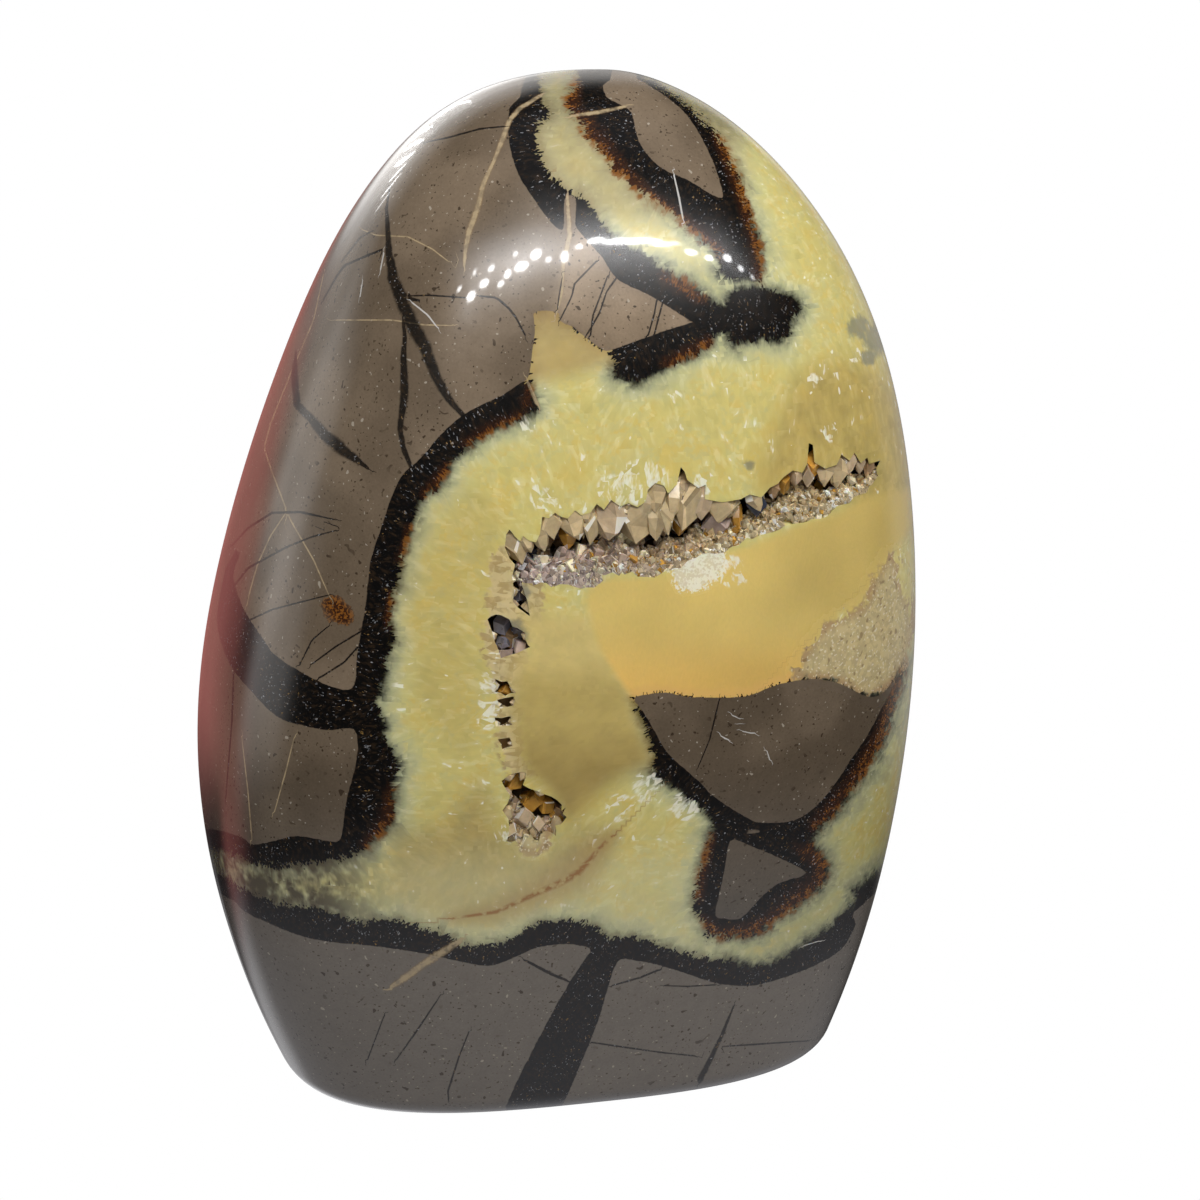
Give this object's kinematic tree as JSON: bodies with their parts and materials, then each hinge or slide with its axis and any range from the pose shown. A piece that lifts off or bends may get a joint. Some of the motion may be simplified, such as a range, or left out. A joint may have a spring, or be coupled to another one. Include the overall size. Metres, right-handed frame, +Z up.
{
  "type": "septarian nodule",
  "caption": "Free-standing polished septarian nodule: a flat-based egg of grey-brown limestone, black aragonite bands, yellow calcite and an open crystal-lined crevice.",
  "frame": {"origin": "centre of the bounding box, at the level of the flat base that the stone stands on", "axes": "+Z up along the stone's height, X across its width, Y through its thickness, with the patterned polished face towards -Y"},
  "size_m": [0.0888, 0.0608, 0.127],
  "materials": {
    "polished_stone": "polished to a gloss",
    "calcite_crystals": "natural crystal faces, unpolished"
  },
  "bodies": {
    "root": {"nodule": "polished_stone"}
  },
  "joints": []
}
